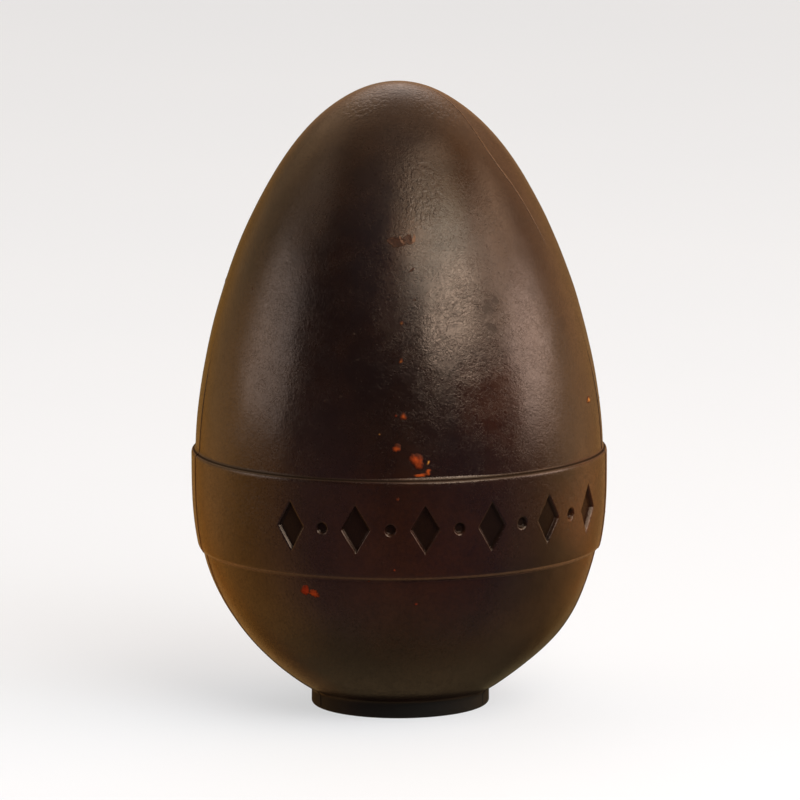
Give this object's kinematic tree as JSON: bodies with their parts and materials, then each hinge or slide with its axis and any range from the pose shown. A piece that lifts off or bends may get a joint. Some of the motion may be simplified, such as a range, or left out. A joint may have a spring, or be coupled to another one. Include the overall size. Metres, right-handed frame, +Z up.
{
  "type": "chocolate egg",
  "caption": "Large dark chocolate egg moulded in one piece, with a raised belt round its widest part, sunk lozenges and dots on the belt, and a short round foot.",
  "frame": {"origin": "middle of the foot's flat underside", "axes": "+Z up along the egg's axis towards its tip, -Y towards the front, where the belt carries its ornament, +X to the right of the front"},
  "size_m": [0.1462, 0.1462, 0.22],
  "materials": {
    "dark_chocolate": "dark chocolate with flush chopped hazelnut, satin gloss with fine casting wrinkles"
  },
  "bodies": {
    "root": {"egg": "dark_chocolate"}
  },
  "joints": []
}
